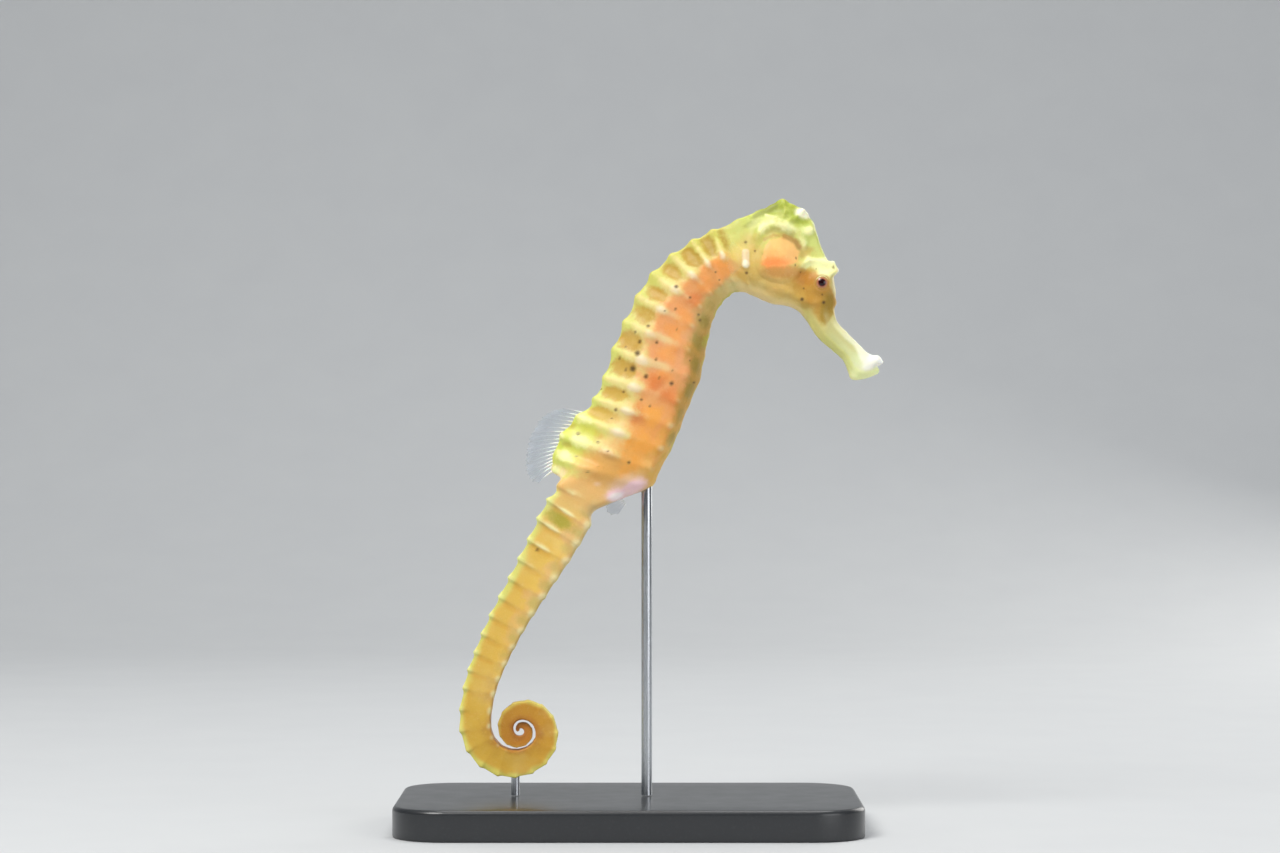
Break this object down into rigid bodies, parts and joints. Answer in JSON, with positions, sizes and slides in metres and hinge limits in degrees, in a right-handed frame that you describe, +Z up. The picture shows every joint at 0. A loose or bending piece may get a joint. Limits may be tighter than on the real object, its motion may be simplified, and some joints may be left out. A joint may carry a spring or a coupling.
{
  "type": "seahorse",
  "caption": "Life-size seahorse in a swimming pose with its tail rolled up, held by slim rods on a flat display stand.",
  "frame": {"origin": "centre of the underside of the display stand's base", "axes": "+X the way the head faces, +Y the animal's left side, +Z up; the animal's median plane is the XZ plane"},
  "size_m": [0.0628, 0.036, 0.0816],
  "materials": {
    "skin": "moist, softly translucent yellow and orange skin over bony rings, cast in tinted resin",
    "eye": "wet glossy eyeball with a dark pupil",
    "fin_membrane": "clear thin fin membrane with whitish rays",
    "stand_base": "dark satin lacquer",
    "stand_rod": "brushed stainless rod"
  },
  "bodies": {
    "root": {"snout": "skin", "head": "skin", "coronet": "skin", "eye_left": "eye", "eye_right": "eye", "neck": "skin", "trunk_upper": "skin", "trunk_middle": "skin", "trunk_lower": "skin", "tail_base": "skin", "tail_middle": "skin", "tail_lower": "skin", "tail_bend": "skin", "tail_roll_outer": "skin", "tail_roll_inner": "skin", "tail_tip": "skin", "dorsal_fin": "fin_membrane", "pectoral_fin_left": "fin_membrane", "pectoral_fin_right": "fin_membrane", "anal_fin": "fin_membrane", "stand_base": "stand_base", "stand_rod_belly": "stand_rod", "stand_rod_tail": "stand_rod"}
  },
  "joints": []
}
